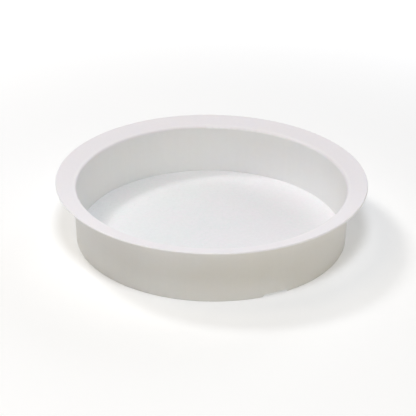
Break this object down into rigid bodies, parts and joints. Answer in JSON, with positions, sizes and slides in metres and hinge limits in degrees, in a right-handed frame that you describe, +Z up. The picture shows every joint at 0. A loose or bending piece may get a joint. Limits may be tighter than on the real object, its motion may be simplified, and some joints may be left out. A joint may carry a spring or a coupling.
{
  "type": "cheese mold",
  "caption": "Shallow round cheese mold with a sloped rim, a drained floor on a notched foot ring, and a loose perforated disc that lifts out.",
  "frame": {"origin": "on the mold's axis, in the plane that the foot ring stands on", "axes": "+Z up along the mold's axis, out of the open top; -Y towards the front, with the nearest drainage notch 27 degrees to the right of it"},
  "size_m": [0.4, 0.4, 0.08],
  "materials": {
    "mold_plastic": "satin",
    "disc_plastic": "satin"
  },
  "bodies": {
    "mold": {"mold_body": "mold_plastic"},
    "disc": {"drain_disc": "disc_plastic"}
  },
  "joints": [
    {"name": "disc_lift", "type": "slide", "parent": "mold", "child": "disc", "axis": [0, 0, 1], "range_m": [0, 0.12]}
  ]
}
